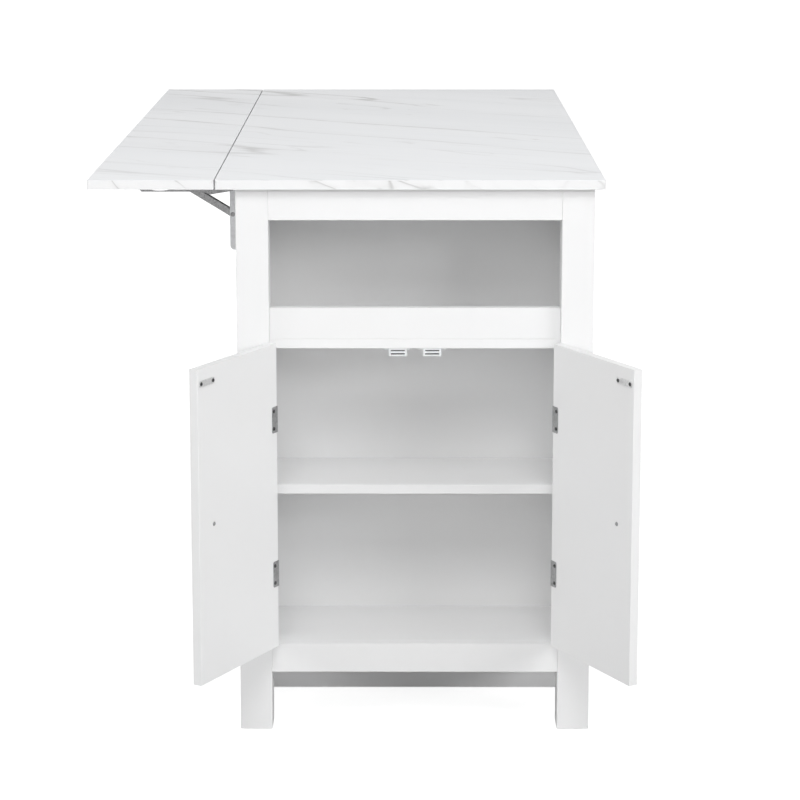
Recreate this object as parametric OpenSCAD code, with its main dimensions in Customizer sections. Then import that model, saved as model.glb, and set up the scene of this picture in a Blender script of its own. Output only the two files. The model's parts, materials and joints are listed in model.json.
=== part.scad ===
// Kitchen island with a drop leaf, an open niche and a two-door cupboard in its narrow end.
// Millimetres. X runs across the island with the leaf on the -X side, Y runs from the
// cupboard end to the far end, and Z is up. The origin is on the floor under the middle
// of the outline, with the leaf raised and the doors standing open.

/* [Worktop] */
// Height of the worktop above the floor
height = 893; // [850:1:940]
// Thickness of the worktop and of the drop leaf
top_t = 15; // [12:1:25]
// Worktop's overhang over the body on the leaf side
over_leaf = 30; // [26:1:45]
// Worktop's overhang on the side away from the leaf
over_side = 15; // [5:1:40]
// Worktop's overhang over each end
over_end = 15; // [5:1:40]
// Radius of the worktop's corners, seen from above
top_corner = 3; // [1:0.5:8]

/* [Drop leaf] */
// Width of the drop leaf
leaf_w = 195; // [170:1:300]
// Gap between the raised leaf and the worktop
leaf_gap = 2; // [1:0.5:4]
// How far the far edge of each end bracket stands in from the leaf's end
bracket_inset = 138; // [90:1:300]

/* [Body] */
// Width of the body over its legs
body_w = 558; // [480:1:700]
// Length of the body over its legs
body_l = 1355; // [900:5:1600]
// Width of the square legs
leg_w = 51; // [40:1:70]
// Radius of the legs' upright edges
leg_edge = 1.5; // [0.5:0.5:4]
// Thickness of every board of the body
board_t = 15; // [12:1:20]
// Height of the rails under the worktop
rail_h = 50; // [35:1:80]
// Height of the bottom rails
low_rail_h = 47; // [35:1:70]
// Height of the bottom rails' lower edge above the floor
low_rail_z = 97; // [60:1:140]
// Thickness of the plastic glides
glide_t = 2; // [1:0.5:5]

/* [End cupboard] */
// Depth of the cupboard, from the legs' faces to its back
end_depth = 201; // [170:1:300]
// Height of the niche's floor above the ground
niche_z = 637; // [560:1:700]
// Height of the rail along the front of the niche's floor
niche_rail_h = 50; // [20:1:80]
// How far the niche rail stands back behind a closed door's inner face
niche_setback = 1; // [0.5:0.5:10]
// Height of the middle shelf's upper face above the ground
shelf_z = 399; // [300:1:480]
// How far the middle shelf stands back from the legs' faces
shelf_setback = 26; // [22:1:60]

/* [Doors] */
// Thickness of the doors
door_t = 15; // [12:1:20]
// Angle at which the doors stand open
door_open = 118.8; // [60:0.1:150]
// Gap above and below each door
door_gap = 1.5; // [1:0.5:4]
// Gap between the closed doors
door_meet = 4; // [2:0.5:8]
// Gap between a door and its leg, which holds the hinge
hinge_gap = 2; // [2:0.1:4]
// How far the hinge pins stand inside the legs' edges, in front of the legs
pin_side = 1.5; // [0.5:0.1:2]
// Height of each hinge
hinge_h = 42; // [30:1:60]
// Distance from a door's end to its hinge's nearer edge
hinge_inset = 99; // [40:1:150]
// Radius of the hinge's barrel
barrel_r = 2; // [1.8:0.1:3]
// Radius of the hinge's pin
hinge_pin_r = 1.1; // [0.8:0.1:1.3]
// Thickness of the hinge's sheet steel
hinge_t = 0.8; // [0.6:0.05:0.9]
// Width of the hinge flap on a door's inner face
hinge_flap = 15; // [12:1:25]
// Distance of the knob from a door's free edge
knob_inset = 40; // [25:1:60]
// Radius of the knob
knob_r = 11; // [8:0.5:16]
// How far the knob stands out
knob_out = 18; // [14:0.5:30]

/* [Folding brackets] */
// Angle of the brace above the horizontal, with the leaf raised
brace_angle = 31.6; // [30:0.1:33]
// Turn of the brace for each degree that the leaf folds
brace_ratio = 1.29; // [1.27:0.005:1.31]
// Length of the wall channel below the worktop
channel_len = 113; // [95:1:140]
// Depth of the wall channel
channel_d = 15; // [14:0.5:20]
// Width of the wall channel
channel_w = 20; // [18:0.5:30]
// Thickness of the bracket's sheet steel
steel_t = 1.5; // [1:0.1:2]
// Gap on each side between the wall channel and the arm
arm_gap = 2; // [1.8:0.1:3]
// Gap on each side between the wall channel and the brace
brace_gap = 0.3; // [0.2:0.05:0.6]
// Radius of the bracket's pins
pin_r = 2; // [1.6:0.1:2.4]
// Width of the brace's sides
brace_h = 10.3; // [9:0.1:11.5]
// Depth of the arm where it is deepest, below the leaf
arm_belly = 23.4; // [22:0.1:24]
// Depth of the arm along its slot, below the leaf
arm_depth = 19; // [18.8:0.1:22]

/* [Catches] */
// Width of each magnetic catch
catch_w = 29; // [22:1:36]
// Depth of each magnetic catch, front to back
catch_d = 30; // [20:1:45]
// Height of each magnetic catch
catch_h = 12.5; // [11:0.5:18]
// Distance of each strike plate's middle from its door's free edge
strike_inset = 25; // [18:1:40]
// Length of the strike plates
strike_l = 42; // [40:1:50]
// Height of the strike plates
strike_h = 10; // [9:0.5:16]

/* [Hidden] */

$fn = 32;
white = [0.95, 0.95, 0.95];
marble = [0.93, 0.93, 0.92];
steel = [0.62, 0.63, 0.64];
plastic = [0.9, 0.9, 0.9];

fit = 0.05;                      // clearance of a pin or a screw in its hole
seat = 0.3;                      // clearance between neighbours that move past each other
under_z = height - top_t;        // underside of the worktop and of the raised leaf
low_top_z = low_rail_z + low_rail_h;
opening_w = body_w - 2 * leg_w;  // between the legs
inner_w = body_w - 2 * board_t;  // between the side panels
rear_leg_y = body_l - leg_w;
top_w = over_leaf + body_w + over_side;
top_l = body_l + 2 * over_end;

// Doors, described closed and then swung open about their hinge pins.
door_w = (opening_w - 2 * hinge_gap - door_meet) / 2;
door_z0 = low_top_z + door_gap;
door_z1 = niche_z - door_gap;
door_mid_z = (door_z0 + door_z1) / 2;
barrel_y = -(barrel_r + 0.2);
barrel_x = -pin_side;
hinge_zs = [door_z0 + hinge_inset, door_z1 - hinge_inset - hinge_h];
knuckle_h = hinge_h / 3;
leaf_back = 28;                  // reach of the hinge leaf along the leg
leaf_round = 3;                  // radius of the hinge leaves' outer corners
hinge_screw_zs = [hinge_h / 6, hinge_h * 5 / 6];
screw_r = 1.5;
screw_len = 11;
head_r = 3;
head_h = 1;
strike_t = 1.2;
strike_round = 4;
strike_drop = 23;                // from a door's upper edge to its strike plate's middle
strike_screw = 32;               // between a strike plate's screws
knob_screw_r = 2;
knob_seat_r = 7;                 // radius of the knob's foot
catch_flange = 7;                // reach of a catch's screw flanges
catch_flange_t = 2.5;
catch_flange_y = 2;              // how far the flanges stand back from a catch's face
pole_t = 1.5;
pole_w = catch_w - 7;
pole_out = 0.8;                  // how far the poles stand out of the catch
pole_gap = 5.3;                  // between the poles' middles
glide_r = 14;
panel_glide_r = 6;
peg_r = 2;
peg_len = 10;
shelf_pin_r = 2.5;
shelf_pin_in = 8;                // length of a shelf pin in its panel
shelf_pin_out = 8;               // length of a shelf pin under its shelf
shelf_pin_edge = 24;             // from the cupboard's back and the leg to a shelf pin

// Folding bracket, in a side view. "out" is measured from the side panel away from the
// body and "up" from the underside of the worktop. Along the arm the same two
// directions turn with it about the arm's pivot.
arm_pivot = [13, -13];
brace_pivot = [10.5, -55.5];
slot_start_up = 6.5;             // the slot pin's height over the arm's pivot, leaf raised
brace_len = (slot_start_up + arm_pivot.y - brace_pivot.y) / sin(brace_angle);
brace_out_w = channel_w - 2 * steel_t - 2 * brace_gap;
arm_in_w = channel_w + 2 * arm_gap;
arm_out_w = arm_in_w + 2 * steel_t;
leaf_edge_out = over_leaf + leaf_gap;
slot_r = pin_r + seat;
slot_steps = 18;
eye_r = 4.5;                     // the brace's rounded end round its slot pin
ear_r = 5.2;                     // the channel's ear round the arm's pivot
rivet_head_r = 3.6;
rivet_head_h = 1.3;
bracket_ys = [bracket_inset - over_end - arm_out_w, (body_l - arm_out_w) / 2,
              body_l + over_end - bracket_inset];
channel_round = channel_d * 0.5;   // radius of the channel's lower corner
channel_screw_ups = [-30, -channel_len + 18];

function turn(p, a) = [p.x * cos(a) - p.y * sin(a), p.x * sin(a) + p.y * cos(a)];

// Where the slot pin stands, seen along the arm, once the leaf has folded by "fold".
function slot_pin_at(fold) =
  let (direction = brace_angle - brace_ratio * fold)
  turn(brace_pivot + brace_len * [cos(direction), sin(direction)] - arm_pivot, fold);
slot_path = [for (i = [0:slot_steps]) slot_pin_at(90 * i / slot_steps)];
slot_end = slot_path[slot_steps];
arm_len = slot_end.x + eye_r + 2 * head_r + 3.5;

// The outline at rest, which sets the origin. A door's far points, seen from above and
// from its hinge pin, are the round corners of its free edge and the rim of its knob.
door_edge_r = 1;
knob_rim = [[0.9, 0.56], [1, 0.7], [1, 0.86], [0.86, 1]];
free_reach = hinge_gap - barrel_x + door_w;
door_points = concat(
  [for (depth = [door_edge_r, door_t - door_edge_r]) [free_reach - door_edge_r, depth - barrel_y]],
  [for (rim = knob_rim, s = [-1, 1])
    [free_reach - knob_inset + s * rim[0] * knob_r, -rim[1] * knob_out - barrel_y]]);
door_point_r = [for (i = [0:len(door_points) - 1]) i < 2 ? door_edge_r : 0];
swung_points = [for (p = door_points) turn(p, -door_open)];
door_side_reach = max([for (i = [0:len(swung_points) - 1]) door_point_r[i] - swung_points[i].x]);
door_front_y = barrel_y + min([for (i = [0:len(swung_points) - 1]) swung_points[i].y - door_point_r[i]]);
low_x = min(-over_leaf - leaf_gap - leaf_w, leg_w + barrel_x - door_side_reach);
high_x = max(body_w + over_side, body_w - leg_w - barrel_x + door_side_reach);
low_y = min(-over_end, door_front_y);
high_y = body_l + over_end;
origin = [(low_x + high_x) / 2, (low_y + high_y) / 2, 0];

module placed() {
  translate(-origin) children();
}

// ---- Shapes used by many pieces ----

// A flat outline from 0,0 to size, with round corners.
module rounded(size, r) {
  translate([r, 0]) square([size.x - 2 * r, size.y]);
  translate([0, r]) square([size.x, size.y - 2 * r]);
  for (x = [r, size.x - r], y = [r, size.y - r]) translate([x, y]) circle(r);
}

// A board from one corner to the other, with plain edges.
module board(from, to) {
  translate(from) cube(to - from);
}

// A side-view outline (x across, y up) standing between two depths.
module upright(y0, y1) {
  translate([0, y1, 0]) rotate([90, 0, 0]) linear_extrude(y1 - y0) children();
}

// A round bar along X, Y or Z from a point.
module bar_x(p, r, l) { translate(p) rotate([0, 90, 0]) cylinder(h = l, r = r); }
module bar_y(p, r, l) { translate(p) rotate([-90, 0, 0]) cylinder(h = l, r = r); }
module bar_z(p, r, l) { translate(p) cylinder(h = l, r = r); }

// A pan-head screw with a cross recess, along +Z, with its head's seat at z = 0.
module screw(l = screw_len, r = screw_r) {
  translate([0, 0, -l]) cylinder(h = l, r = r, $fn = 12);
  difference() {
    rotate_extrude($fn = 20) polygon([[0, 0], [head_r, 0], [head_r, head_h * 0.45],
      [head_r * 0.75, head_h], [0, head_h]]);
    for (a = [0, 90]) rotate(a)
      translate([-head_r * 0.6, -0.4, head_h * 0.3]) cube([head_r * 1.2, 0.8, head_h]);
  }
}

// The hole for such a screw.
module screw_hole(l = screw_len, r = screw_r) {
  translate([0, 0, -l - 0.5]) cylinder(h = l + 1.5, r = r + fit, $fn = 12);
}

// A hinge leaf's outline, with its two far corners round.
module leaf_outline(w) {
  square([w - leaf_round, hinge_h]);
  translate([0, leaf_round]) square([w, hinge_h - 2 * leaf_round]);
  for (y = [leaf_round, hinge_h - leaf_round]) translate([w - leaf_round, y]) circle(leaf_round);
}

// ---- Legs and glides ----

module leg_at(x, y) {
  translate([x, y, glide_t]) difference() {
    linear_extrude(under_z - glide_t) rounded([leg_w, leg_w], leg_edge);
    bar_z([leg_w / 2, leg_w / 2, -1], peg_r + fit, peg_len + 1.5);
  }
}

module front_left_leg() {
  color(white) difference() {
    leg_at(0, 0);
    leg_leaf_screws() screw_hole();
  }
}

module front_right_leg() {
  color(white) difference() {
    leg_at(body_w - leg_w, 0);
    other_side() leg_leaf_screws() screw_hole();
  }
}

module rear_left_leg() { color(white) leg_at(0, rear_leg_y); }
module rear_right_leg() { color(white) leg_at(body_w - leg_w, rear_leg_y); }

module glide(r) {
  cylinder(h = glide_t, r1 = r - 1, r2 = r);
  cylinder(h = glide_t + peg_len, r = peg_r);
}

panel_glide_ys = [end_depth + 60, (end_depth + rear_leg_y) / 2, rear_leg_y - 60];
panel_glide_xs = [board_t / 2, body_w - board_t / 2];

module foot_glides() {
  color(plastic) {
    for (x = [leg_w / 2, body_w - leg_w / 2], y = [leg_w / 2, body_l - leg_w / 2])
      translate([x, y, 0]) glide(glide_r);
    for (x = panel_glide_xs, y = panel_glide_ys) translate([x, y, 0]) glide(panel_glide_r);
  }
}

// ---- Worktop and leaf ----

module main_top() {
  color(marble) translate([-over_leaf, -over_end, under_z])
    linear_extrude(top_t) rounded([top_w, top_l], top_corner);
}

module drop_leaf() {
  color(marble) difference() {
    translate([-leaf_edge_out - leaf_w, -over_end, under_z])
      linear_extrude(top_t) rounded([leaf_w, top_l], top_corner);
    arm_screw_places() screw_hole();
  }
}

// ---- Rails, panels and shelves ----

module front_top_rail() {
  color(white) board([leg_w, 0, under_z - rail_h], [body_w - leg_w, board_t, under_z]);
}

module rear_top_rail() {
  color(white) board([leg_w, body_l - board_t, under_z - rail_h], [body_w - leg_w, body_l, under_z]);
}

module front_bottom_rail() {
  color(white) board([leg_w, 0, low_rail_z], [body_w - leg_w, board_t, low_top_z]);
}

module rear_bottom_rail() {
  color(white) board([leg_w, body_l - board_t, low_rail_z], [body_w - leg_w, body_l, low_top_z]);
}

niche_y = door_t + niche_setback;

module niche_rail() {
  color(white) board([leg_w, niche_y, niche_z], [body_w - leg_w, niche_y + board_t, niche_z + niche_rail_h]);
}

// A shelf that runs between the legs and widens behind them.
module end_shelf(front_y, top_z, clear = 0) {
  translate([0, 0, top_z - board_t]) linear_extrude(board_t) polygon([
    [leg_w + clear, front_y], [body_w - leg_w - clear, front_y],
    [body_w - leg_w - clear, leg_w + clear], [body_w - board_t - clear, leg_w + clear],
    [body_w - board_t - clear, end_depth - clear], [board_t + clear, end_depth - clear],
    [board_t + clear, leg_w + clear], [leg_w + clear, leg_w + clear]]);
}

module niche_shelf() {
  color(white) difference() {
    end_shelf(niche_y, niche_z);
    catch_screw_places() screw_hole();
  }
}

module middle_shelf() { color(white) end_shelf(shelf_setback, shelf_z, 0.5); }
module cupboard_floor() { color(white) end_shelf(board_t, low_top_z); }

shelf_pin_ys = [leg_w + shelf_pin_edge, end_depth - shelf_pin_edge];

module shelf_pin_places() {
  for (y = shelf_pin_ys)
    translate([board_t - shelf_pin_in, y, shelf_z - board_t - shelf_pin_r]) children();
}

module shelf_pin() { bar_x([0, 0, 0], shelf_pin_r, shelf_pin_in + shelf_pin_out); }

module shelf_pins() {
  color(steel) {
    shelf_pin_places() shelf_pin();
    other_side() shelf_pin_places() shelf_pin();
  }
}

module partition() {
  color(white) board([board_t, end_depth, glide_t], [body_w - board_t, end_depth + board_t, under_z]);
}

module left_end_side() {
  color(white) difference() {
    board([0, leg_w, low_rail_z], [board_t, end_depth, under_z]);
    shelf_pin_places() bar_x([0, 0, 0], shelf_pin_r + fit, shelf_pin_in + 1);
    channel_screw_places(0) screw_hole();
  }
}

module right_end_side() {
  color(white) difference() {
    board([body_w - board_t, leg_w, low_rail_z], [body_w, end_depth, under_z]);
    other_side() shelf_pin_places() bar_x([0, 0, 0], shelf_pin_r + fit, shelf_pin_in + 1);
  }
}

module panel_pegs(x) {
  for (y = panel_glide_ys) bar_z([x, y, glide_t - 1], peg_r + fit, peg_len + 1.5);
}

module left_side_panel() {
  color(white) difference() {
    board([0, end_depth, glide_t], [board_t, rear_leg_y, under_z]);
    for (i = [0:2]) channel_screw_places(i) screw_hole();
    panel_pegs(panel_glide_xs[0]);
  }
}

module right_side_panel() {
  color(white) difference() {
    board([body_w - board_t, end_depth, glide_t], [body_w, rear_leg_y, under_z]);
    panel_pegs(panel_glide_xs[1]);
  }
}

rear_panel_y = body_l - 2 * board_t;

module rear_panel() {
  color(white) board([leg_w, rear_panel_y, glide_t], [body_w - leg_w, rear_panel_y + board_t, under_z]);
}

module main_floor() {
  color(white) translate([0, 0, low_top_z - board_t]) linear_extrude(board_t) polygon([
    [board_t, end_depth + board_t], [body_w - board_t, end_depth + board_t],
    [body_w - board_t, rear_leg_y], [body_w - leg_w, rear_leg_y],
    [body_w - leg_w, rear_panel_y], [leg_w, rear_panel_y],
    [leg_w, rear_leg_y], [board_t, rear_leg_y]]);
}

module centre_divider() {
  mid_y = (end_depth + rear_panel_y) / 2;
  color(white) board([board_t, mid_y, low_top_z], [body_w - board_t, mid_y + board_t, under_z]);
}

// ---- Magnetic catches and strike plates ----

catch_y = door_t + strike_t + seat + pole_out;
catch_z = niche_z - board_t;
strike_z = door_z1 - strike_drop;

// Children stand at a catch's middle, on the underside of the niche's floor.
module catch_places() {
  for (s = [-1, 1])
    translate([body_w / 2 + s * (door_meet / 2 + strike_inset), catch_y, catch_z]) children();
}

module catch_screw_places() {
  catch_places() for (s = [-1, 1])
    translate([s * (catch_w + catch_flange) / 2, catch_flange_y + catch_d * 0.3, -catch_flange_t])
      rotate([180, 0, 0]) children();
}

module pole_slots(grow) {
  for (z = [-1, 1])
    translate([-pole_w / 2 - grow, -pole_out - 1, -catch_h / 2 + z * pole_gap / 2 - pole_t / 2 - grow])
      cube([pole_w + 2 * grow, catch_d / 2 + 1 + pole_out + grow, pole_t + 2 * grow]);
}

module catch_bodies() {
  color(plastic) difference() {
    catch_places() {
      translate([-catch_w / 2, 0, -catch_h]) linear_extrude(catch_h) rounded([catch_w, catch_d], 2);
      translate([-catch_w / 2 - catch_flange, catch_flange_y, -catch_flange_t])
        linear_extrude(catch_flange_t) rounded([catch_w + 2 * catch_flange, catch_d * 0.6], 3);
    }
    catch_places() pole_slots(fit);
    catch_screw_places() screw_hole();
  }
}

module catch_plates() {
  color(steel) catch_places() for (z = [-1, 1])
    translate([-pole_w / 2, -pole_out, -catch_h / 2 + z * pole_gap / 2 - pole_t / 2])
      cube([pole_w, catch_d / 2, pole_t]);
}

module catch_screws() { color(steel) catch_screw_places() screw(); }

module strike_plate() {
  mid = [leg_w + hinge_gap + door_w - strike_inset, door_t, strike_z];
  difference() {
    translate(mid) rotate([-90, 0, 0]) linear_extrude(strike_t)
      translate([-strike_l / 2, -strike_h / 2]) rounded([strike_l, strike_h], strike_round);
    strike_screw_places() screw_hole();
  }
}

module strike_screw_places() {
  for (s = [-1, 1])
    translate([leg_w + hinge_gap + door_w - strike_inset + s * strike_screw / 2, door_t + strike_t, strike_z])
      rotate([-90, 0, 0]) children();
}

// ---- Doors, their hinges and knobs, described for the left door while it is closed ----

hinge_pivot = [leg_w + barrel_x, barrel_y, 0];

module swung_open() {
  translate(hinge_pivot) rotate([0, 0, -door_open]) translate(-hinge_pivot) children();
}

// The mirror image across the island's middle.
module other_side() {
  translate([body_w, 0, 0]) mirror([1, 0, 0]) children();
}

module leg_leaf_screws() {
  for (z = hinge_zs, s = hinge_screw_zs)
    translate([leg_w + hinge_t, leaf_back - 6, z + s]) rotate([0, 90, 0]) children();
}

module door_leaf_screws() {
  for (z = hinge_zs, s = hinge_screw_zs)
    translate([leg_w + hinge_gap + hinge_flap - 4.5, door_t + hinge_t, z + s])
      rotate([-90, 0, 0]) children();
}

knuckle_gap = 0.2;

// A knuckle round the pin, with the strip that joins it to a leaf whose far side is at x.
module knuckle(z, h, x) {
  bar_z([hinge_pivot.x, hinge_pivot.y, z], barrel_r, h);
  board([hinge_pivot.x, barrel_y - hinge_t / 2, z], [x, barrel_y + hinge_t / 2, z + h]);
  board([x - hinge_t, barrel_y - hinge_t / 2, z], [x, 0.3, z + h]);
}

module pin_bore(z) {
  bar_z([hinge_pivot.x, hinge_pivot.y, z - 1], hinge_pin_r + fit, hinge_h + 2);
}

// Sheet leaf on the leg, with the upper and lower knuckles.
module leg_leaves() {
  difference() {
    for (z = hinge_zs) {
      translate([leg_w, 0.2, z]) rotate([90, 0, 90]) linear_extrude(hinge_t) leaf_outline(leaf_back);
      knuckle(z, knuckle_h - knuckle_gap, leg_w + hinge_t);
      knuckle(z + 2 * knuckle_h, knuckle_h, leg_w + hinge_t);
    }
    for (z = hinge_zs) pin_bore(z);
    leg_leaf_screws() screw_hole();
  }
}

// Sheet leaf on the door: over its edge and round onto its inner face, with the middle knuckle.
module door_leaves() {
  edge_x = leg_w + hinge_gap;
  difference() {
    for (z = hinge_zs) {
      board([edge_x - hinge_t, 0.2, z], [edge_x, door_t + hinge_t, z + hinge_h]);
      upright(door_t, door_t + hinge_t)
        translate([edge_x - hinge_t, z]) leaf_outline(hinge_flap + hinge_t);
      knuckle(z + knuckle_h, knuckle_h - knuckle_gap, edge_x);
    }
    for (z = hinge_zs) pin_bore(z);
    door_leaf_screws() screw_hole();
  }
}

module pins() {
  for (z = hinge_zs) {
    bar_z([hinge_pivot.x, hinge_pivot.y, z], hinge_pin_r, hinge_h);
    for (end = [[z - 0.8, 0.8], [z + hinge_h, 0.8]])
      bar_z([hinge_pivot.x, hinge_pivot.y, end[0]], barrel_r - 0.3, end[1]);
  }
}

module leg_hinge_leaves() { color(steel) { leg_leaves(); other_side() leg_leaves(); } }
module hinge_pins() { color(steel) { pins(); other_side() pins(); } }

module leg_hinge_screws() {
  color(steel) {
    leg_leaf_screws() screw();
    other_side() leg_leaf_screws() screw();
  }
}

module knob_place() {
  translate([leg_w + hinge_gap + door_w - knob_inset, 0, door_mid_z]) rotate([90, 0, 0]) children();
}

module door_slab() {
  difference() {
    translate([leg_w + hinge_gap, 0, door_z0])
      linear_extrude(door_z1 - door_z0) rounded([door_w, door_t], door_edge_r);
    door_leaf_screws() screw_hole();
    strike_screw_places() screw_hole();
    knob_place() translate([0, 0, -door_t - 1]) cylinder(h = door_t + 2, r = knob_screw_r + fit);
  }
}

module knob() {
  knob_place() rotate_extrude() difference() {
    polygon(concat([[0, 0], [knob_seat_r, 0], [knob_seat_r * 0.72, knob_out * 0.22],
        [knob_seat_r * 0.72, knob_out * 0.42]],
        [for (rim = knob_rim) [rim[0] * knob_r, rim[1] * knob_out]], [[0, knob_out]]));
    square([knob_screw_r + fit, knob_out * 0.6]);
  }
}

module knob_screw() {
  knob_place() {
    translate([0, 0, -door_t]) cylinder(h = door_t + knob_out * 0.5, r = knob_screw_r);
    translate([0, 0, -door_t - 1.6]) cylinder(h = 1.6, r1 = 2.6, r2 = 3.4);
  }
}

module door_screws() {
  door_leaf_screws() screw();
  strike_screw_places() screw();
}

module left_door() { color(white) swung_open() door_slab(); }
module right_door() { color(white) other_side() swung_open() door_slab(); }
module left_door_hinges() { color(steel) swung_open() door_leaves(); }
module right_door_hinges() { color(steel) other_side() swung_open() door_leaves(); }
module left_door_screws() { color(steel) swung_open() door_screws(); }
module right_door_screws() { color(steel) other_side() swung_open() door_screws(); }
module left_strike_plate() { color(steel) swung_open() strike_plate(); }
module right_strike_plate() { color(steel) other_side() swung_open() strike_plate(); }
module left_knob() { color(steel) swung_open() knob(); }
module right_knob() { color(steel) other_side() swung_open() knob(); }
module left_knob_screw() { color(steel) swung_open() knob_screw(); }
module right_knob_screw() { color(steel) other_side() swung_open() knob_screw(); }

// ---- Folding brackets ----

// A flat point of the bracket's side view, in the body's frame.
function side_point(p) = [-p.x, under_z + p.y];
arm_centre = side_point(arm_pivot);
brace_centre = side_point(brace_pivot);

// Children are drawn along the arm, with its pivot at 0,0, its length along +x and up as +y.
module along_arm() { translate(arm_centre) mirror([1, 0]) children(); }

// Children are drawn along the brace in the same way.
module along_brace() { translate(brace_centre) mirror([1, 0]) rotate(brace_angle) children(); }

// Two flat sides of a folded sheet, w apart over their outsides, about the depth mid_y.
module sheet_sides(mid_y, w) {
  upright(mid_y - w / 2, mid_y - w / 2 + steel_t) children();
  upright(mid_y + w / 2 - steel_t, mid_y + w / 2) children();
}

function bracket_mid(i) = bracket_ys[i] + arm_out_w / 2;

module channel_side() {
  difference() {
    union() {
      translate([-channel_d, under_z - channel_len + channel_round])
        square([channel_d, channel_len - channel_round - 1]);
      translate([channel_round - channel_d, under_z - channel_len]) square([channel_d - channel_round, channel_d]);
      translate([channel_round - channel_d, under_z - channel_len + channel_round]) circle(channel_round);
      translate(arm_centre) circle(ear_r);
    }
    translate(arm_centre) circle(pin_r + fit);
    translate(brace_centre) circle(pin_r + fit);
  }
}

module wall_channel(i) {
  mid = bracket_mid(i);
  difference() {
    union() {
      sheet_sides(mid, channel_w) channel_side();
      board([-steel_t, mid - channel_w / 2, under_z - channel_len],
            [0, mid + channel_w / 2, under_z - 1]);
    }
    channel_screw_places(i) screw_hole();
  }
}

module channel_screw_places(i) {
  for (up = channel_screw_ups)
    translate([-steel_t, bracket_mid(i), under_z + up]) rotate([0, -90, 0]) children();
}

module wall_channels() { color(steel) for (i = [0:2]) wall_channel(i); }
module channel_screws() { color(steel) for (i = [0:2]) channel_screw_places(i) screw(); }

// Rivet through the channel and the foot of the brace.
module brace_rivets() {
  color(steel) for (i = [0:2]) {
    mid = bracket_mid(i);
    bar_y([brace_centre.x, mid - channel_w / 2, brace_centre.y], pin_r, channel_w);
    for (y = [mid - channel_w / 2 - rivet_head_h, mid + channel_w / 2])
      bar_y([brace_centre.x, y, brace_centre.y], rivet_head_r, rivet_head_h);
  }
}

// Pivot pin of the arm, with its two spacers and two heads.
module arm_pivots() {
  color(steel) for (i = [0:2]) {
    mid = bracket_mid(i);
    bar_y([arm_centre.x, mid - arm_out_w / 2 - seat, arm_centre.y], pin_r, arm_out_w + 2 * seat);
    for (y = [mid - arm_in_w / 2 + seat, mid + channel_w / 2])
      bar_y([arm_centre.x, y, arm_centre.y], rivet_head_r, arm_gap - seat);
    for (y = [mid - arm_out_w / 2 - seat - rivet_head_h, mid + arm_out_w / 2 + seat])
      bar_y([arm_centre.x, y, arm_centre.y], rivet_head_r, rivet_head_h);
  }
}

// Side of the arm: deepest near the wall, then a long side that holds the slot.
module arm_side() {
  top_up = -arm_pivot.y - 0.5;
  low_up = -arm_pivot.y - arm_depth;
  difference() {
    union() {
      circle(ear_r);
      polygon([[0, ear_r], [0, -ear_r], [32, -arm_pivot.y - arm_belly],
        [46, low_up], [arm_len - 8, low_up], [arm_len, low_up + 8],
        [arm_len, top_up], [leaf_edge_out - arm_pivot.x, top_up]]);
    }
    circle(pin_r + fit);
    polygon(slot_outline());
    for (p = [slot_path[0], slot_end]) translate(p) circle(slot_r);
  }
}

function side_step(i) =
  let (a = slot_path[max(i - 1, 0)], b = slot_path[min(i + 1, slot_steps)], d = b - a)
  slot_r * [-d.y, d.x] / norm(d);
function slot_outline() = concat(
  [for (i = [0:slot_steps]) slot_path[i] + side_step(i)],
  [for (i = [slot_steps:-1:0]) slot_path[i] - side_step(i)]);

module bracket_arm(i) {
  mid = bracket_mid(i);
  web_from = leaf_edge_out + 1;
  difference() {
    union() {
      sheet_sides(mid, arm_out_w) along_arm() arm_side();
      board([-arm_pivot.x - arm_len, mid - arm_out_w / 2, under_z - steel_t],
            [-web_from, mid + arm_out_w / 2, under_z]);
    }
    arm_screw_place(i) screw_hole();
  }
}

// The outer screws sit past the brace's rounded end where the leaf is folded.
arm_screw_outs = [leaf_edge_out + 14, arm_pivot.x + slot_end.x + eye_r + head_r + 2];

module arm_screw_place(i) {
  for (o = arm_screw_outs, s = [-1, 1])
    translate([-o, bracket_mid(i) + s * arm_in_w / 4, under_z - steel_t])
      rotate([180, 0, 0]) children();
}

module arm_screw_places() { for (i = [0:2]) arm_screw_place(i) children(); }
module bracket_arms() { color(steel) for (i = [0:2]) bracket_arm(i); }
module arm_screws() { color(steel) arm_screw_places() screw(); }

// Side of the brace: a flat bar with one broad and one narrow round end.
module brace_side() {
  difference() {
    union() {
      circle(brace_h / 2);
      translate([brace_len, 0]) circle(eye_r);
      polygon([[0, -brace_h / 2], [brace_len - eye_r, -brace_h / 2], [brace_len, -eye_r],
        [brace_len, eye_r], [brace_len - eye_r, brace_h / 2], [0, brace_h / 2]]);
    }
    circle(pin_r + fit);
    translate([brace_len, 0]) circle(pin_r + fit);
  }
}

module brace(i) {
  mid = bracket_mid(i);
  color(steel) {
    sheet_sides(mid, brace_out_w) along_brace() brace_side();
    upright(mid - brace_out_w / 2, mid + brace_out_w / 2) along_brace()
      translate([brace_h, -brace_h / 2]) square([brace_len - brace_h - eye_r - 2, steel_t]);
  }
}

slot_pin_centre = brace_centre + turn([brace_len, 0], 180 - brace_angle);

// Pin that rides in the arm's slot, with spacers inside the arm and heads outside it.
module slot_pin(i) {
  mid = bracket_mid(i);
  reach = arm_out_w + 2 * seat;
  spacer = (arm_in_w - brace_out_w) / 2 - seat;
  color(steel) {
    bar_y([slot_pin_centre.x, mid - reach / 2, slot_pin_centre.y], pin_r, reach);
    for (y = [mid - brace_out_w / 2 - spacer, mid + brace_out_w / 2])
      bar_y([slot_pin_centre.x, y, slot_pin_centre.y], rivet_head_r, spacer);
    for (y = [mid - reach / 2 - rivet_head_h, mid + reach / 2])
      bar_y([slot_pin_centre.x, y, slot_pin_centre.y], rivet_head_r, rivet_head_h);
  }
}

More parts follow.
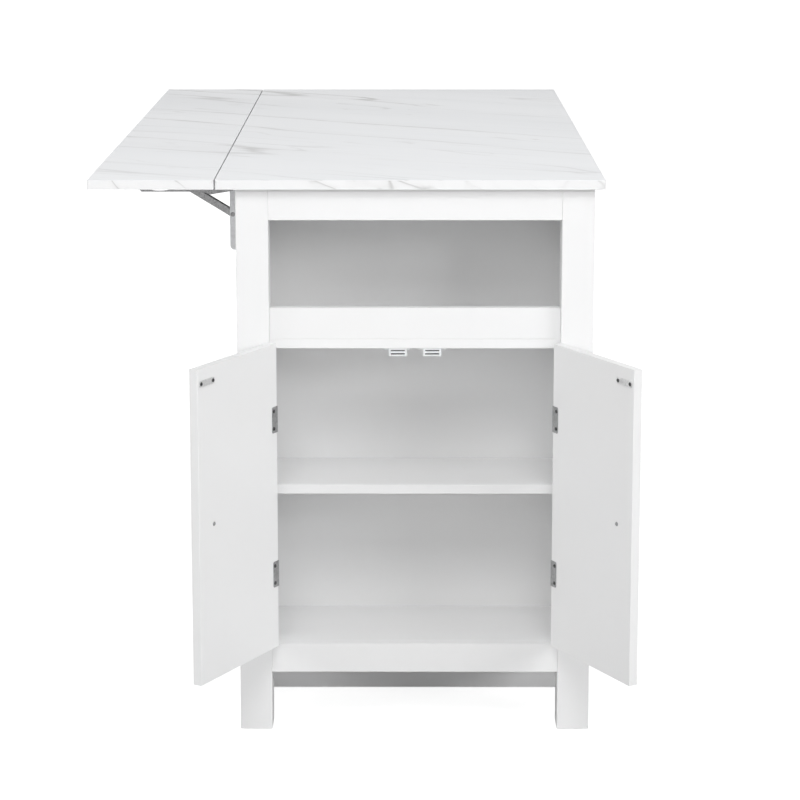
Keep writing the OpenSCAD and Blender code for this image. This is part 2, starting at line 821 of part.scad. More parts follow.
placed() front_left_leg();
placed() front_right_leg();
placed() rear_left_leg();
placed() rear_right_leg();
placed() foot_glides();
placed() main_top();
placed() drop_leaf();
placed() front_top_rail();
placed() rear_top_rail();
placed() front_bottom_rail();
placed() rear_bottom_rail();
placed() niche_rail();
placed() niche_shelf();
placed() middle_shelf();
placed() cupboard_floor();
placed() shelf_pins();
placed() partition();
placed() left_end_side();
placed() right_end_side();
placed() left_side_panel();
placed() right_side_panel();
placed() rear_panel();
placed() main_floor();
placed() centre_divider();
placed() catch_bodies();
placed() catch_plates();
placed() catch_screws();
placed() leg_hinge_leaves();
placed() leg_hinge_screws();
placed() hinge_pins();
placed() wall_channels();
placed() channel_screws();
placed() brace_rivets();
placed() arm_pivots();
placed() bracket_arms();
placed() arm_screws();
placed() brace(0);  // front_brace
placed() brace(1);  // middle_brace
placed() brace(2);  // rear_brace
placed() slot_pin(0);  // front_slot_pin
placed() slot_pin(1);  // middle_slot_pin
placed() slot_pin(2);  // rear_slot_pin
placed() left_door();
placed() right_door();
placed() left_door_hinges();
placed() right_door_hinges();
placed() left_door_screws();
placed() right_door_screws();
placed() left_strike_plate();
placed() right_strike_plate();
placed() left_knob();
placed() right_knob();
placed() left_knob_screw();
placed() right_knob_screw();
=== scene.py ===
import json
import math

import bmesh
import bpy
from mathutils import Matrix, Vector


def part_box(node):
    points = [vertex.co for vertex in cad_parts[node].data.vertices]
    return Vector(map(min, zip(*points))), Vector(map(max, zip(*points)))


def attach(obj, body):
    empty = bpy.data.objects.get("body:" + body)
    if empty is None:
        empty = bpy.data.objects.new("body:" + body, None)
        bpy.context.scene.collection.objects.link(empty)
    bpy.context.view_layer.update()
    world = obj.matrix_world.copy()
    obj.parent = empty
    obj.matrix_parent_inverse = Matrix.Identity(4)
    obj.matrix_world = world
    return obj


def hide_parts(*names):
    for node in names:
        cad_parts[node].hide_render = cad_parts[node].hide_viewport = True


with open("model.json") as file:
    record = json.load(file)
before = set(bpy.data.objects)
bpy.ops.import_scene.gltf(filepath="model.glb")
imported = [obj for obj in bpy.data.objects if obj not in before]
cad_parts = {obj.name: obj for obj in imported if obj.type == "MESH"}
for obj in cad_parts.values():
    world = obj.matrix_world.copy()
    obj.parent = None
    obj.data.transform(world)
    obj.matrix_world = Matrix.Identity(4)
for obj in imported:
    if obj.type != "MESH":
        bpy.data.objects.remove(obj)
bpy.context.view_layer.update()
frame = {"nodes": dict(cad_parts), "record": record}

scene = bpy.context.scene
nodes = frame["nodes"]
record = frame["record"]
bodyOfNode = {n: body for body, members in record["behaviour"]["bodies"].items() for n in members}
slotOfNode = {part["node"]: part["material_slot"] for part in record["subparts"]}
print("frame loaded:", len(nodes), "nodes")

# Camera, near the photograph's place: it looks down a little, and a small shift does the rest.
cameraView = {
    "frameWidth": 800,  # pixels
    "focalPixels": 2541,
    "sensorWidth": 36,  # mm
    "place": (0.0665, -4.4751, 1.4257),
    "tilt": 10.07,  # degrees below the horizontal
    "turn": 0.09,
    "lift": 120,  # pixels that the shift moves the picture up
    "clip": (0.05, 60),
}


def makeCamera():
    data = bpy.data.cameras.new("photoCamera")
    data.sensor_width = cameraView["sensorWidth"]
    data.lens = cameraView["sensorWidth"] * cameraView["focalPixels"] / cameraView["frameWidth"]
    data.shift_y = -cameraView["lift"] / cameraView["frameWidth"]
    data.clip_start, data.clip_end = cameraView["clip"]
    camera = bpy.data.objects.new("photoCamera", data)
    camera.location = cameraView["place"]
    camera.rotation_euler = (math.radians(90 - cameraView["tilt"]), 0, math.radians(cameraView["turn"]))
    scene.collection.objects.link(camera)
    scene.camera = camera


makeCamera()
print("camera set")


# Shader node helpers. Groups hold the effects that several finishes share.
def makeGroup(name, inputs, outputs):
    group = bpy.data.node_groups.new(name, "ShaderNodeTree")
    for label, kind, value in inputs:
        socket = group.interface.new_socket(name=label, in_out="INPUT", socket_type=kind)
        if value is not None:
            socket.default_value = value
    for label, kind in outputs:
        group.interface.new_socket(name=label, in_out="OUTPUT", socket_type=kind)
    return group, group.nodes.new("NodeGroupInput"), group.nodes.new("NodeGroupOutput")


def addNode(tree, kind, values=None, **settings):
    made = tree.nodes.new(kind)
    for key, value in settings.items():
        setattr(made, key, value)
    for key, value in (values or {}).items():
        made.inputs[key].default_value = value
    return made


def feed(tree, value, socket):
    # A plain number or colour is set on the socket, and another node's output is linked to it.
    if isinstance(value, (int, float, tuple)):
        socket.default_value = value
    else:
        tree.links.new(value, socket)


def mathStep(tree, operation, first, second=0.5, clamp=False):
    made = addNode(tree, "ShaderNodeMath", operation=operation, use_clamp=clamp)
    feed(tree, first, made.inputs[0])
    feed(tree, second, made.inputs[1])
    return made.outputs[0]


def mixColour(tree, factor, first, second):
    made = addNode(tree, "ShaderNodeMix", data_type="RGBA")
    for index, value in ((0, factor), (6, first), (7, second)):  # the colour mix's own sockets
        feed(tree, value, made.inputs[index])
    return made.outputs[2]


def spreadValue(tree, value, low, high, toLow=0.0, toHigh=1.0):
    made = addNode(tree, "ShaderNodeMapRange", {1: low, 2: high, 3: toLow, 4: toHigh},
                   interpolation_type="SMOOTHSTEP")
    tree.links.new(value, made.inputs[0])
    return made.outputs[0]


def moveVector(tree, operation, vector, other):
    made = addNode(tree, "ShaderNodeVectorMath", operation=operation)
    tree.links.new(vector, made.inputs[0])
    feed(tree, other, made.inputs["Scale" if operation == "SCALE" else 1])
    return made.outputs[0]


def noiseAt(tree, vector, scale, **values):
    made = addNode(tree, "ShaderNodeTexNoise", values)
    tree.links.new(vector, made.inputs["Vector"])
    feed(tree, scale, made.inputs["Scale"])
    return made


def buildEdgeGroup():
    # 1 along sharp edges, broken up by noise, 0 on the flats.
    group, into, out = makeGroup("worn edge", [
        ("Vector", "NodeSocketVector", None), ("Width", "NodeSocketFloat", 0.001),
        ("Breakup", "NodeSocketFloat", 60.0)], [("Mask", "NodeSocketFloat")])
    bevel = addNode(group, "ShaderNodeBevel", samples=4)
    group.links.new(into.outputs["Width"], bevel.inputs["Radius"])
    shape = addNode(group, "ShaderNodeNewGeometry")
    dot = addNode(group, "ShaderNodeVectorMath", operation="DOT_PRODUCT")
    group.links.new(bevel.outputs[0], dot.inputs[0])
    group.links.new(shape.outputs["Normal"], dot.inputs[1])
    edge = spreadValue(group, dot.outputs["Value"], 0.995, 0.80)
    noise = noiseAt(group, into.outputs["Vector"], into.outputs["Breakup"], Detail=3.0)
    broken = spreadValue(group, noise.outputs[0], 0.3, 0.7, 0.35, 1.0)
    group.links.new(mathStep(group, "MULTIPLY", edge, broken), out.inputs["Mask"])
    return group


def buildFilmGroup():
    # The faint orange-peel of a foil or a sprayed coat, with cloudy changes of gloss.
    group, into, out = makeGroup("coated board", [
        ("Vector", "NodeSocketVector", None), ("Peel Scale", "NodeSocketFloat", 900.0),
        ("Cloud Scale", "NodeSocketFloat", 4.0)],
        [("Height", "NodeSocketFloat"), ("Cloud", "NodeSocketFloat")])
    vector = into.outputs["Vector"]
    peel = noiseAt(group, vector, into.outputs["Peel Scale"], Detail=2.0, Roughness=0.55)
    cloud = noiseAt(group, vector, into.outputs["Cloud Scale"], Detail=4.0, Roughness=0.6)
    group.links.new(peel.outputs[0], out.inputs["Height"])
    group.links.new(spreadValue(group, cloud.outputs[0], 0.3, 0.7), out.inputs["Cloud"])
    return group


veinShape = {
    "wanderNoise": {"Detail": 5.0, "Roughness": 0.6}, "wanderScale": 6.0,
    "ridgeNoise": {"Detail": 1.5, "Roughness": 0.4},  # a vein runs where this noise is at its middle
    "fadeSteepness": 5.0,
    "haloWidth": 7.0,  # in widths of the vein
    "haloFall": 2.0,
}


def buildVeinGroup():
    # Thin wandering veins that run along the pattern's X and fade in and out.
    group, into, out = makeGroup("marble vein", [
        ("Vector", "NodeSocketVector", None), ("Scale", "NodeSocketFloat", 3.0),
        ("Width", "NodeSocketFloat", 0.02), ("Wander", "NodeSocketFloat", 0.1),
        ("Presence", "NodeSocketFloat", 0.5), ("Break Scale", "NodeSocketFloat", 5.0),
        ("Shift", "NodeSocketFloat", 0.0)],
        [("Vein", "NodeSocketFloat"), ("Halo", "NodeSocketFloat")])
    width = into.outputs["Width"]
    wander = noiseAt(group, into.outputs["Vector"], veinShape["wanderScale"], **veinShape["wanderNoise"])
    centred = moveVector(group, "SUBTRACT", wander.outputs[1], (0.5, 0.5, 0.5))
    scaled = moveVector(group, "SCALE", centred, into.outputs["Wander"])
    moved = moveVector(group, "ADD", into.outputs["Vector"], scaled)
    shift = addNode(group, "ShaderNodeCombineXYZ")
    for axis in range(3):
        group.links.new(into.outputs["Shift"], shift.inputs[axis])
    placed = moveVector(group, "ADD", moved, shift.outputs[0])
    ridge = noiseAt(group, placed, into.outputs["Scale"], **veinShape["ridgeNoise"])
    away = mathStep(group, "ABSOLUTE", mathStep(group, "SUBTRACT", ridge.outputs[0], 0.5))
    fade = noiseAt(group, placed, into.outputs["Break Scale"], Detail=2.0)
    absent = mathStep(group, "SUBTRACT", 1.0, into.outputs["Presence"])
    gate = mathStep(group, "SUBTRACT", fade.outputs[0], absent)
    gate = mathStep(group, "MULTIPLY", gate, veinShape["fadeSteepness"], clamp=True)
    thin = mathStep(group, "SUBTRACT", 1.0, mathStep(group, "DIVIDE", away, width), clamp=True)
    reach = mathStep(group, "MULTIPLY", width, veinShape["haloWidth"])
    wide = mathStep(group, "SUBTRACT", 1.0, mathStep(group, "DIVIDE", away, reach), clamp=True)
    halo = mathStep(group, "POWER", wide, veinShape["haloFall"])
    group.links.new(mathStep(group, "MULTIPLY", thin, gate), out.inputs["Vein"])
    group.links.new(mathStep(group, "MULTIPLY", halo, gate), out.inputs["Halo"])
    return group


def buildBrushGroup():
    # Fine rolled lines and blotches of a zinc coat.
    group, into, out = makeGroup("zinc coat", [
        ("Vector", "NodeSocketVector", None), ("Line Scale", "NodeSocketFloat", 1500.0),
        ("Blotch Scale", "NodeSocketFloat", 240.0)],
        [("Lines", "NodeSocketFloat"), ("Blotches", "NodeSocketFloat")])
    stretch = addNode(group, "ShaderNodeMapping", {"Scale": (1.0, 1.0, 0.06)})
    group.links.new(into.outputs["Vector"], stretch.inputs["Vector"])
    lines = noiseAt(group, stretch.outputs[0], into.outputs["Line Scale"], Detail=2.0)
    blotch = addNode(group, "ShaderNodeTexVoronoi", feature="SMOOTH_F1")
    group.links.new(into.outputs["Vector"], blotch.inputs["Vector"])
    group.links.new(into.outputs["Blotch Scale"], blotch.inputs["Scale"])
    group.links.new(lines.outputs[0], out.inputs["Lines"])
    group.links.new(blotch.outputs[0], out.inputs["Blotches"])
    return group


groups = {"edge": buildEdgeGroup(), "film": buildFilmGroup(), "vein": buildVeinGroup(),
          "brush": buildBrushGroup()}
print("shader groups built")


def startMaterial(name):
    made = bpy.data.materials.new(name)
    made.use_nodes = True
    tree = made.node_tree
    place = tree.nodes.new("ShaderNodeTexCoord").outputs["Object"]
    return made, tree, tree.nodes["Principled BSDF"], place


def useGroup(tree, key, values, vector=None):
    made = tree.nodes.new("ShaderNodeGroup")
    made.node_tree = groups[key]
    for label, value in values.items():
        made.inputs[label].default_value = value
    if vector is not None:
        tree.links.new(vector, made.inputs["Vector"])
    return made


def setRoughness(tree, shader, amount, low, high, look):
    # The amount, from low to high, runs the roughness through the look's own range.
    tree.links.new(spreadValue(tree, amount, low, high, *look["roughness"]), shader.inputs["Roughness"])


def addBump(tree, shader, height, distance):
    bump = addNode(tree, "ShaderNodeBump", {"Distance": distance, "Strength": 1.0})
    tree.links.new(height, bump.inputs["Height"])
    tree.links.new(bump.outputs[0], shader.inputs["Normal"])


whiteBoard = {
    "colour": (0.895, 0.897, 0.900, 1), "clouded": (0.885, 0.885, 0.885, 1),
    "worn": (0.80, 0.79, 0.77, 1), "wear": 0.5,
    "film": {"Peel Scale": 700.0, "Cloud Scale": 3.0}, "peelDepth": 0.00006,
    "edge": {"Width": 0.0007, "Breakup": 45.0},
    "roughness": (0.36, 0.46),
}


def makeWhiteBoard():
    made, tree, shader, place = startMaterial("white faced board")
    film = useGroup(tree, "film", whiteBoard["film"], place)
    edge = useGroup(tree, "edge", whiteBoard["edge"], place)
    base = mixColour(tree, film.outputs["Cloud"], whiteBoard["colour"], whiteBoard["clouded"])
    worn = mathStep(tree, "MULTIPLY", edge.outputs["Mask"], whiteBoard["wear"])
    tree.links.new(mixColour(tree, worn, base, whiteBoard["worn"]), shader.inputs["Base Color"])
    setRoughness(tree, shader, film.outputs["Cloud"], 0, 1, whiteBoard)
    addBump(tree, shader, film.outputs["Height"], whiteBoard["peelDepth"])
    return made


marbleTop = {
    "ground": (0.868, 0.878, 0.892, 1), "cloud": (0.80, 0.81, 0.825, 1), "cloudiness": 0.22,
    "edgeGround": (0.885, 0.888, 0.892, 1), "underside": (0.87, 0.872, 0.875, 1),
    "vein": (0.42, 0.415, 0.41, 1), "fineVein": (0.55, 0.545, 0.54, 1),
    "turn": -29.0,  # degrees between the veins and the worktop's front edge
    "stretch": 7.5,  # how much longer the veins run than they wander
    "mainVeins": {"Scale": 6.0, "Width": 0.0085, "Wander": 0.06, "Presence": 0.53, "Break Scale": 6.5},
    "fineVeins": {
        "Scale": 12.0, "Width": 0.011, "Wander": 0.035, "Presence": 0.50, "Break Scale": 15.0, "Shift": 3.7},
    "hairVeins": {
        "Scale": 22.0, "Width": 0.016, "Wander": 0.018, "Presence": 0.49, "Break Scale": 20.0, "Shift": 9.1},
    "layers": [  # veins, the group's output, strength, colour
        ("mainVeins", "Halo", 0.20, "fineVein"), ("mainVeins", "Vein", 0.85, "vein"),
        ("fineVeins", "Vein", 0.55, "vein"), ("hairVeins", "Vein", 0.45, "fineVein"),
    ],
    "edgeTurn": 38.0, "edgeStretch": 2.6,  # the strips on the edges carry their own slanting marks
    "edgeVeins": {
        "Scale": 20.0, "Width": 0.018, "Wander": 0.03, "Presence": 0.58, "Break Scale": 14.0, "Shift": 1.3},
    "edgeLayers": [("Halo", 0.22, "fineVein"), ("Vein", 0.55, "vein")],
    "edgeFrom": 0.0008,  # how far inside the board's faces a strip begins
    "film": {"Peel Scale": 500.0, "Cloud Scale": 5.0}, "peelDepth": 0.00004,
    "roughness": (0.40, 0.52),
}


def turnedPattern(tree, vector, degrees, stretch):
    made = addNode(tree, "ShaderNodeMapping", {
        "Rotation": (0.0, 0.0, math.radians(degrees)), "Scale": (stretch, 1.0, 1.0)}, vector_type="TEXTURE")
    tree.links.new(vector, made.inputs["Vector"])
    return made.outputs[0]


def layVein(tree, colour, veins, output, strength, tint):
    amount = mathStep(tree, "MULTIPLY", veins.outputs[output], strength)
    return mixColour(tree, amount, colour, marbleTop[tint])


def makeMarbleTop():
    made, tree, shader, place = startMaterial("marble laminate")
    along = turnedPattern(tree, place, marbleTop["turn"], marbleTop["stretch"])
    veins = {key: useGroup(tree, "vein", marbleTop[key], along)
             for key in ("mainVeins", "fineVeins", "hairVeins")}
    film = useGroup(tree, "film", marbleTop["film"], along)
    cloud = mathStep(tree, "MULTIPLY", film.outputs["Cloud"], marbleTop["cloudiness"])
    colour = mixColour(tree, cloud, marbleTop["ground"], marbleTop["cloud"])
    for key, output, strength, tint in marbleTop["layers"]:
        colour = layVein(tree, colour, veins[key], output, strength, tint)
    # The edge strips: the run along an edge and the height make their own flat pattern.
    split = addNode(tree, "ShaderNodeSeparateXYZ")
    tree.links.new(place, split.inputs[0])
    height = split.outputs[2]
    flat = addNode(tree, "ShaderNodeCombineXYZ")
    tree.links.new(mathStep(tree, "ADD", split.outputs[0], split.outputs[1]), flat.inputs[0])
    tree.links.new(height, flat.inputs[1])
    slanting = turnedPattern(tree, flat.outputs[0], -marbleTop["edgeTurn"], marbleTop["edgeStretch"])
    marks = useGroup(tree, "vein", marbleTop["edgeVeins"], slanting)
    strip = marbleTop["edgeGround"]
    for output, strength, tint in marbleTop["edgeLayers"]:
        strip = layVein(tree, strip, marks, output, strength, tint)
    stripLow, stripHigh = (corner[2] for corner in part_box("main_top"))
    stripLow, stripHigh = stripLow + marbleTop["edgeFrom"], stripHigh - marbleTop["edgeFrom"]
    onStrip = mathStep(tree, "MULTIPLY", mathStep(tree, "GREATER_THAN", height, stripLow),
                       mathStep(tree, "LESS_THAN", height, stripHigh))
    colour = mixColour(tree, onStrip, colour, strip)
    colour = mixColour(tree, mathStep(tree, "LESS_THAN", height, stripLow), colour, marbleTop["underside"])
    tree.links.new(colour, shader.inputs["Base Color"])
    setRoughness(tree, shader, film.outputs["Cloud"], 0, 1, marbleTop)
    addBump(tree, shader, film.outputs["Height"], marbleTop["peelDepth"])
    return made


# The metals: wall channels, folding arms and braces, hinges with the rivets and pivots, strike
# plates, screws, the catches' poles with the slot pins, and the knobs.
channelSteel = {
    "colour": (0.84, 0.845, 0.86, 1), "dark": (0.76, 0.765, 0.775, 1), "bright": (0.93, 0.93, 0.94, 1),
    "roughness": (0.30, 0.46), "metallic": 0.85, "lineScale": 1500.0, "edgeWidth": 0.0003,
}
# The arms and braces take a darker copy of the channels' zinc steel: the lower colour paints the shade they
# stand in under the leaf.
shadedBracketSteel = {
    "colour": (0.54, 0.54, 0.545, 1), "dark": (0.44, 0.44, 0.445, 1), "bright": (0.86, 0.86, 0.86, 1),
    "roughness": (0.26, 0.42), "metallic": 0.95, "lineScale": 1500.0, "edgeWidth": 0.0003,
}
hingeSteel = {
    "colour": (0.50, 0.50, 0.505, 1), "dark": (0.38, 0.38, 0.385, 1), "bright": (0.88, 0.88, 0.88, 1),
    "roughness": (0.20, 0.36), "metallic": 0.95, "lineScale": 1500.0, "edgeWidth": 0.0003,
}
strikeSteel = {
    "colour": (0.88, 0.88, 0.88, 1), "dark": (0.80, 0.80, 0.80, 1), "bright": (0.95, 0.95, 0.95, 1),
    "roughness": (0.26, 0.40), "metallic": 0.8, "lineScale": 1200.0, "edgeWidth": 0.0003,
}
# The screws' near-black colour is partly their darker heads and partly painted shade for the pits they sit
# in.
pitShadedScrewSteel = {
    "colour": (0.16, 0.16, 0.165, 1), "dark": (0.09, 0.09, 0.09, 1), "bright": (0.70, 0.70, 0.71, 1),
    "roughness": (0.20, 0.34), "metallic": 1.0, "lineScale": 2600.0, "edgeWidth": 0.0002,
}
# The near-black colour paints the shade inside the catches' slots and round the slot pins.
slotShadedPoleSteel = {
    "colour": (0.17, 0.17, 0.175, 1), "dark": (0.12, 0.12, 0.12, 1), "bright": (0.34, 0.34, 0.35, 1),
    "roughness": (0.34, 0.50), "metallic": 0.9, "lineScale": 1500.0, "edgeWidth": 0.0002,
}
knobMetal = {
    "colour": (0.60, 0.59, 0.57, 1), "dark": (0.52, 0.51, 0.50, 1), "bright": (0.80, 0.79, 0.77, 1),
    "roughness": (0.18, 0.30), "metallic": 1.0, "lineScale": 2600.0, "edgeWidth": 0.0004,
}
metalWearAndSheen = {"blotchScale": 260.0, "breakup": 300.0, "wear": 0.6, "lineDepth": 0.00002}


def makeMetal(name, look):
    made, tree, shader, place = startMaterial(name)
    brush = useGroup(
        tree, "brush", {"Line Scale": look["lineScale"], "Blotch Scale": metalWearAndSheen["blotchScale"]}, place)
    edge = useGroup(tree, "edge", {"Width": look["edgeWidth"], "Breakup": metalWearAndSheen["breakup"]}, place)
    blotches = spreadValue(tree, brush.outputs["Blotches"], 0.1, 0.9)
    # Sharp edges turn toward the bright colour: partly rubbed coating, partly a painted highlight along the
    # rims.
    worn = mathStep(tree, "MULTIPLY", edge.outputs["Mask"], metalWearAndSheen["wear"])
    mixed = mixColour(tree, blotches, look["colour"], look["dark"])
    tree.links.new(mixColour(tree, worn, mixed, look["bright"]), shader.inputs["Base Color"])
    shader.inputs["Metallic"].default_value = look["metallic"]
    setRoughness(tree, shader, brush.outputs["Lines"], 0.3, 0.7, look)
    addBump(tree, shader, brush.outputs["Lines"], metalWearAndSheen["lineDepth"])
    return made


whitePlastic = {
    "colour": (0.86, 0.865, 0.87, 1), "worn": (0.74, 0.74, 0.74, 1), "wear": 0.4,
    "film": {"Peel Scale": 2200.0, "Cloud Scale": 30.0}, "peelDepth": 0.00004,
    "edge": {"Width": 0.0004, "Breakup": 200.0},
    "roughness": 0.42, "subsurface": 0.05,
}


def makeWhitePlastic():
    made, tree, shader, place = startMaterial("white moulded plastic")
    film = useGroup(tree, "film", whitePlastic["film"], place)
    edge = useGroup(tree, "edge", whitePlastic["edge"], place)
    worn = mathStep(tree, "MULTIPLY", edge.outputs["Mask"], whitePlastic["wear"])
    colour = mixColour(tree, worn, whitePlastic["colour"], whitePlastic["worn"])
    tree.links.new(colour, shader.inputs["Base Color"])
    shader.inputs["Roughness"].default_value = whitePlastic["roughness"]
    shader.inputs["Subsurface Weight"].default_value = whitePlastic["subsurface"]
    addBump(tree, shader, film.outputs["Height"], whitePlastic["peelDepth"])
    return made


finishes = {
    "white_board": makeWhiteBoard(), "marble_laminate": makeMarbleTop(),
    "zinc_steel": makeMetal("zinc plated bracket", shadedBracketSteel),
    "white_plastic": makeWhitePlastic(),
    "knob_metal": makeMetal("satin nickel", knobMetal),
}
finerFinishes = {  # fittings whose steel differs from the brackets'
    makeMetal("zinc plated channel", channelSteel): ("wall_channels",),
    # The knob screws take the hinges' darker steel so that it paints the ring of shadow round their heads.
    makeMetal("zinc plated hinge", hingeSteel): (
        "leg_hinge_leaves", "left_door_hinges", "right_door_hinges", "hinge_pins", "brace_rivets",
        "arm_pivots", "left_knob_screw", "right_knob_screw"),
    makeMetal("bright strike plate", strikeSteel): ("left_strike_plate", "right_strike_plate"),
    makeMetal("dark screw steel", pitShadedScrewSteel): (
        "left_door_screws", "right_door_screws", "leg_hinge_screws", "arm_screws", "channel_screws",
        "catch_screws"),
    makeMetal("dark pole and pin steel", slotShadedPoleSteel): (
        "catch_plates", "front_slot_pin", "middle_slot_pin", "rear_slot_pin"),
}
finishOfNode = {nodeName: finishes[slot] for nodeName, slot in slotOfNode.items()}
finishOfNode.update({nodeName: finish for finish, users in finerFinishes.items() for nodeName in users})
print("finishes made:", len(finishes) + len(finerFinishes))

for nodeName, obj in nodes.items():
    obj.data.materials.clear()
    obj.data.materials.append(finishOfNode[nodeName])


def camelName(words):
    first, *rest = words.split("_")
    return first + "".join(word.capitalize() for word in rest)


def finishPiece(bm, name, nodeName, sharpAngle=35):
    mesh = bpy.data.meshes.new(name)
    bm.to_mesh(mesh)
    bm.free()
    for face in mesh.polygons:
        face.use_smooth = True
    mesh.set_sharp_from_angle(angle=math.radians(sharpAngle))
    piece = bpy.data.objects.new(name, mesh)
    scene.collection.objects.link(piece)
    mesh.materials.append(finishOfNode[nodeName])
    weighted = piece.modifiers.new("weightedNormals", "WEIGHTED_NORMAL")
    weighted.keep_sharp = True
    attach(piece, bodyOfNode[nodeName])
    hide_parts(nodeName)
    return piece


easing = {
    "weld": 1e-5,  # metres
    "flat": 0.5, "sharp": 40,  # degrees: faces that count as one, and edges that get eased
    "segments": 2,
}


def easedCopy(nodeName, ease, shortest):
    # A copy of a node with its sharp arrises eased, as a sander or a press leaves them.
    bm = bmesh.new()
    bm.from_mesh(nodes[nodeName].data)
    bmesh.ops.remove_doubles(bm, verts=bm.verts, dist=easing["weld"])
    bmesh.ops.dissolve_limit(bm, angle_limit=math.radians(easing["flat"]), verts=bm.verts, edges=bm.edges,
                             use_dissolve_boundaries=False)
    arrises = [e for e in bm.edges if e.is_manifold and e.is_convex and e.calc_length() > shortest
               and e.calc_face_angle(0) > math.radians(easing["sharp"])]
    bmesh.ops.bevel(bm, geom=arrises, offset=ease, offset_type="OFFSET", segments=easing["segments"],
                    profile=0.5, affect="EDGES", clamp_overlap=False, material=-1)
    return finishPiece(bm, camelName(nodeName) + "Eased", nodeName)


boardEase = {
    "main_top": 0.0009, "drop_leaf": 0.0009, "left_door": 0.0007, "right_door": 0.0007,
    "front_left_leg": 0.0008, "front_right_leg": 0.0008, "rear_left_leg": 0.0008, "rear_right_leg": 0.0008,
    "front_top_rail": 0.0006, "rear_top_rail": 0.0006, "front_bottom_rail": 0.0006,
    "rear_bottom_rail": 0.0006, "niche_rail": 0.0007, "niche_shelf": 0.0006, "middle_shelf": 0.0007,
    "cupboard_floor": 0.0005, "partition": 0.0005, "left_end_side": 0.0005, "right_end_side": 0.0005,
    "left_side_panel": 0.0005, "right_side_panel": 0.0005, "rear_panel": 0.0005, "main_floor": 0.0005,
    "centre_divider": 0.0005,
}
fittingEase = {
    "catch_bodies": 0.0005, "wall_channels": 0.0003, "bracket_arms": 0.0003, "front_brace": 0.0003,
    "middle_brace": 0.0003, "rear_brace": 0.0003, "leg_hinge_leaves": 0.00015,
    "left_door_hinges": 0.00015, "right_door_hinges": 0.00015,
}
rimEase = {  # small turned and pressed pieces, where round rims are eased too
    "brace_rivets": 0.00055, "arm_pivots": 0.00055, "front_slot_pin": 0.00055, "middle_slot_pin": 0.00055,
    "rear_slot_pin": 0.00055, "hinge_pins": 0.0003, "foot_glides": 0.0005, "shelf_pins": 0.0004,
    "catch_plates": 0.0002, "left_strike_plate": 0.0003, "right_strike_plate": 0.0003,
    "left_knob_screw": 0.0003, "right_knob_screw": 0.0003,
}
for label, eases, shortest in (("boards", boardEase, 0.008), ("fittings", fittingEase, 0.003),
                               ("rims", rimEase, 0.0002)):
    for nodeName, ease in eases.items():
        easedCopy(nodeName, ease, shortest)
    print(label, "eased:", len(eases))


# Knobs: turned metal on a narrow neck, spun about the line that the door's screw gives.
knobTurning = {
    "doorAngle": 118.8,  # degrees that each door stands open
    "profile": [  # radius and height in metres, from the foot to the middle of the face
        (0.0, 0.0), (0.0068, 0.0), (0.0071, 0.0002), (0.0071, 0.0010), (0.0067, 0.0014),
        (0.0052, 0.0036), (0.0048, 0.0062), (0.0058, 0.0084), (0.0092, 0.0098), (0.0108, 0.0112),
        (0.0111, 0.0128), (0.0111, 0.0158), (0.0108, 0.0171), (0.0101, 0.0179), (0.0094, 0.0180),
        (0.0090, 0.0176), (0.0086, 0.0176), (0.0060, 0.0179), (0.0, 0.0180)],
    "steps": 28, "levels": 2, "sharpAngle": 80,
}


def makeKnob(nodeName, side):
    angle = math.radians(-90 - knobTurning["doorAngle"])
    outward = Vector((math.cos(angle), math.sin(angle), 0.0))
    if side == "right":
        outward.x = -outward.x
    points = [v.co for v in nodes[nodeName].data.vertices]
    low = Vector([min(p[i] for p in points) for i in range(3)])
    high = Vector([max(p[i] for p in points) for i in range(3)])
    middle = (low + high) / 2
    foot = middle + outward * (min(p.dot(outward) for p in points) - middle.dot(outward))
    bm = bmesh.new()
    ring = [bm.verts.new((radius, 0.0, out)) for radius, out in knobTurning["profile"]]
    edges = [bm.edges.new(pair) for pair in zip(ring, ring[1:])]
    bmesh.ops.spin(bm, geom=ring + edges, cent=(0, 0, 0), axis=(0, 0, 1), dvec=(0, 0, 0),
                   angle=math.radians(360), steps=knobTurning["steps"], use_merge=True)
    bmesh.ops.remove_doubles(bm, verts=bm.verts, dist=1e-6)
    bmesh.ops.recalc_face_normals(bm, faces=bm.faces)
    standing = Matrix.Translation(foot) @ outward.to_track_quat("Z", "Y").to_matrix().to_4x4()
    bmesh.ops.transform(bm, matrix=standing, verts=bm.verts)
    piece = finishPiece(bm, camelName(nodeName) + "Turned", nodeName, knobTurning["sharpAngle"])
    rounded = piece.modifiers.new("roundness", "SUBSURF")
    rounded.levels = rounded.render_levels = knobTurning["levels"]
    piece.modifiers.move(len(piece.modifiers) - 1, 0)


makeKnob("left_knob", "left")
makeKnob("right_knob", "right")
print("knobs turned: 2")


# Floor, world and lamps. The camera sees white behind the island, and mirrors see that white
# but no lamp.
studio = {
    "floorSize": 30.0, "floorColour": (0.58, 0.58, 0.58, 1), "floorRoughness": 0.9,
    "seenWhite": 0.80,  # what the camera adds to the floor by the island, over its own light
    "whiteFrom": 1.1, "whiteTo": 2.6,  # metres from the island where the floor turns plain white
    "ambient": 0.22,  # the white world's strength as a light, against 1 where it is seen
    "lamps": [  # name, place, watts, width, height
        ("rightSoftbox", (3.7, -3.9, 2.1), 48.0, 1.4, 0.8),
        ("rightSide", (4.6, -2.9, 1.9), 47.0, 1.4, 0.8),
        ("leftSoftbox", (-3.7, -3.9, 2.1), 24.0, 1.4, 0.8),
        ("leftSide", (-4.6, -2.9, 1.9), 38.0, 1.4, 0.8),
        ("frontTopFar", (0.0, -4.8, 4.6), 78.0, 3.0, 1.6),
        ("frontTopNear", (0.0, -2.6, 3.4), 28.0, 2.4, 1.4),
        ("overheadBank", (0.0, 0.2, 3.6), 18.0, 2.4, 2.4),
        ("rearRight", (3.6, 3.9, 1.3), 75.0, 1.6, 1.2),
        ("rearLeft", (-3.6, 3.9, 1.3), 75.0, 1.6, 1.2),
        ("cameraFill", (0.0, -6.5, 1.6), 24.0, 2.4, 1.6),
    ],
    "aim": (0.0, -0.4, 0.55),
}


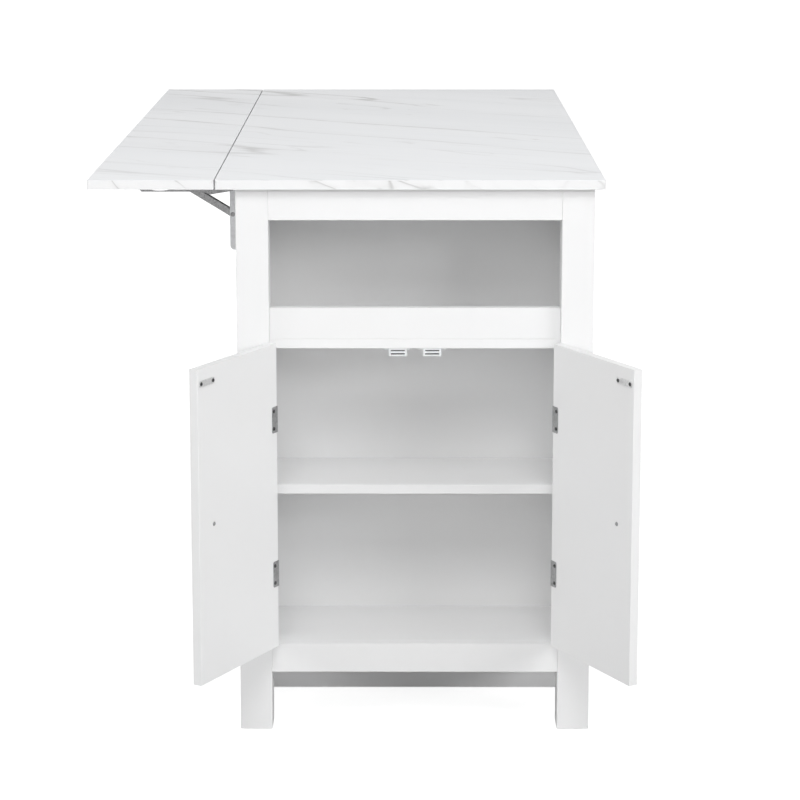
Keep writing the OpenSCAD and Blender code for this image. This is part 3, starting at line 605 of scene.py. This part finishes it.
def makeFloor():
    bm = bmesh.new()
    bmesh.ops.create_grid(bm, x_segments=1, y_segments=1, size=studio["floorSize"])
    mesh = bpy.data.meshes.new("studioFloor")
    bm.to_mesh(mesh)
    bm.free()
    floor = bpy.data.objects.new("studioFloor", mesh)
    scene.collection.objects.link(floor)
    made, tree, shader, place = startMaterial("studio floor")
    shader.inputs["Base Color"].default_value = studio["floorColour"]
    shader.inputs["Roughness"].default_value = studio["floorRoughness"]
    shader.inputs["Specular IOR Level"].default_value = 0.0
    away = addNode(tree, "ShaderNodeVectorMath", operation="LENGTH")
    tree.links.new(place, away.inputs[0])
    white = spreadValue(
        tree, away.outputs["Value"], studio["whiteFrom"], studio["whiteTo"], studio["seenWhite"], 1.0)
    seen = addNode(tree, "ShaderNodeLightPath")
    glow = addNode(tree, "ShaderNodeEmission")
    tree.links.new(mathStep(tree, "MULTIPLY", seen.outputs["Is Camera Ray"], white), glow.inputs["Strength"])
    both = addNode(tree, "ShaderNodeAddShader")
    tree.links.new(shader.outputs[0], both.inputs[0])
    tree.links.new(glow.outputs[0], both.inputs[1])
    tree.links.new(both.outputs[0], tree.nodes["Material Output"].inputs["Surface"])
    mesh.materials.append(made)


def makeWorld():
    world = bpy.data.worlds.new("studioWorld")
    world.use_nodes = True
    scene.world = world
    tree = world.node_tree
    back = tree.nodes["Background"]
    back.inputs["Color"].default_value = (1, 1, 1, 1)
    seen = addNode(tree, "ShaderNodeLightPath")
    direct = mathStep(tree, "MAXIMUM", seen.outputs["Is Camera Ray"], seen.outputs["Is Glossy Ray"])
    strength = addNode(tree, "ShaderNodeMapRange", {1: 0.0, 2: 1.0, 3: studio["ambient"], 4: 1.0})
    tree.links.new(direct, strength.inputs[0])
    tree.links.new(strength.outputs[0], back.inputs["Strength"])


def makeLamps():
    for name, place, watts, width, height in studio["lamps"]:
        data = bpy.data.lights.new(name, "AREA")
        data.shape = "RECTANGLE"
        data.size, data.size_y = width, height
        data.energy = watts
        lamp = bpy.data.objects.new(name, data)
        lamp.location = place
        aimed = Vector(studio["aim"]) - Vector(place)
        lamp.rotation_euler = aimed.to_track_quat("-Z", "Y").to_euler()
        lamp.visible_glossy = False
        scene.collection.objects.link(lamp)


makeFloor()
makeWorld()
makeLamps()
scene.view_settings.view_transform = "Standard"
print("studio set")
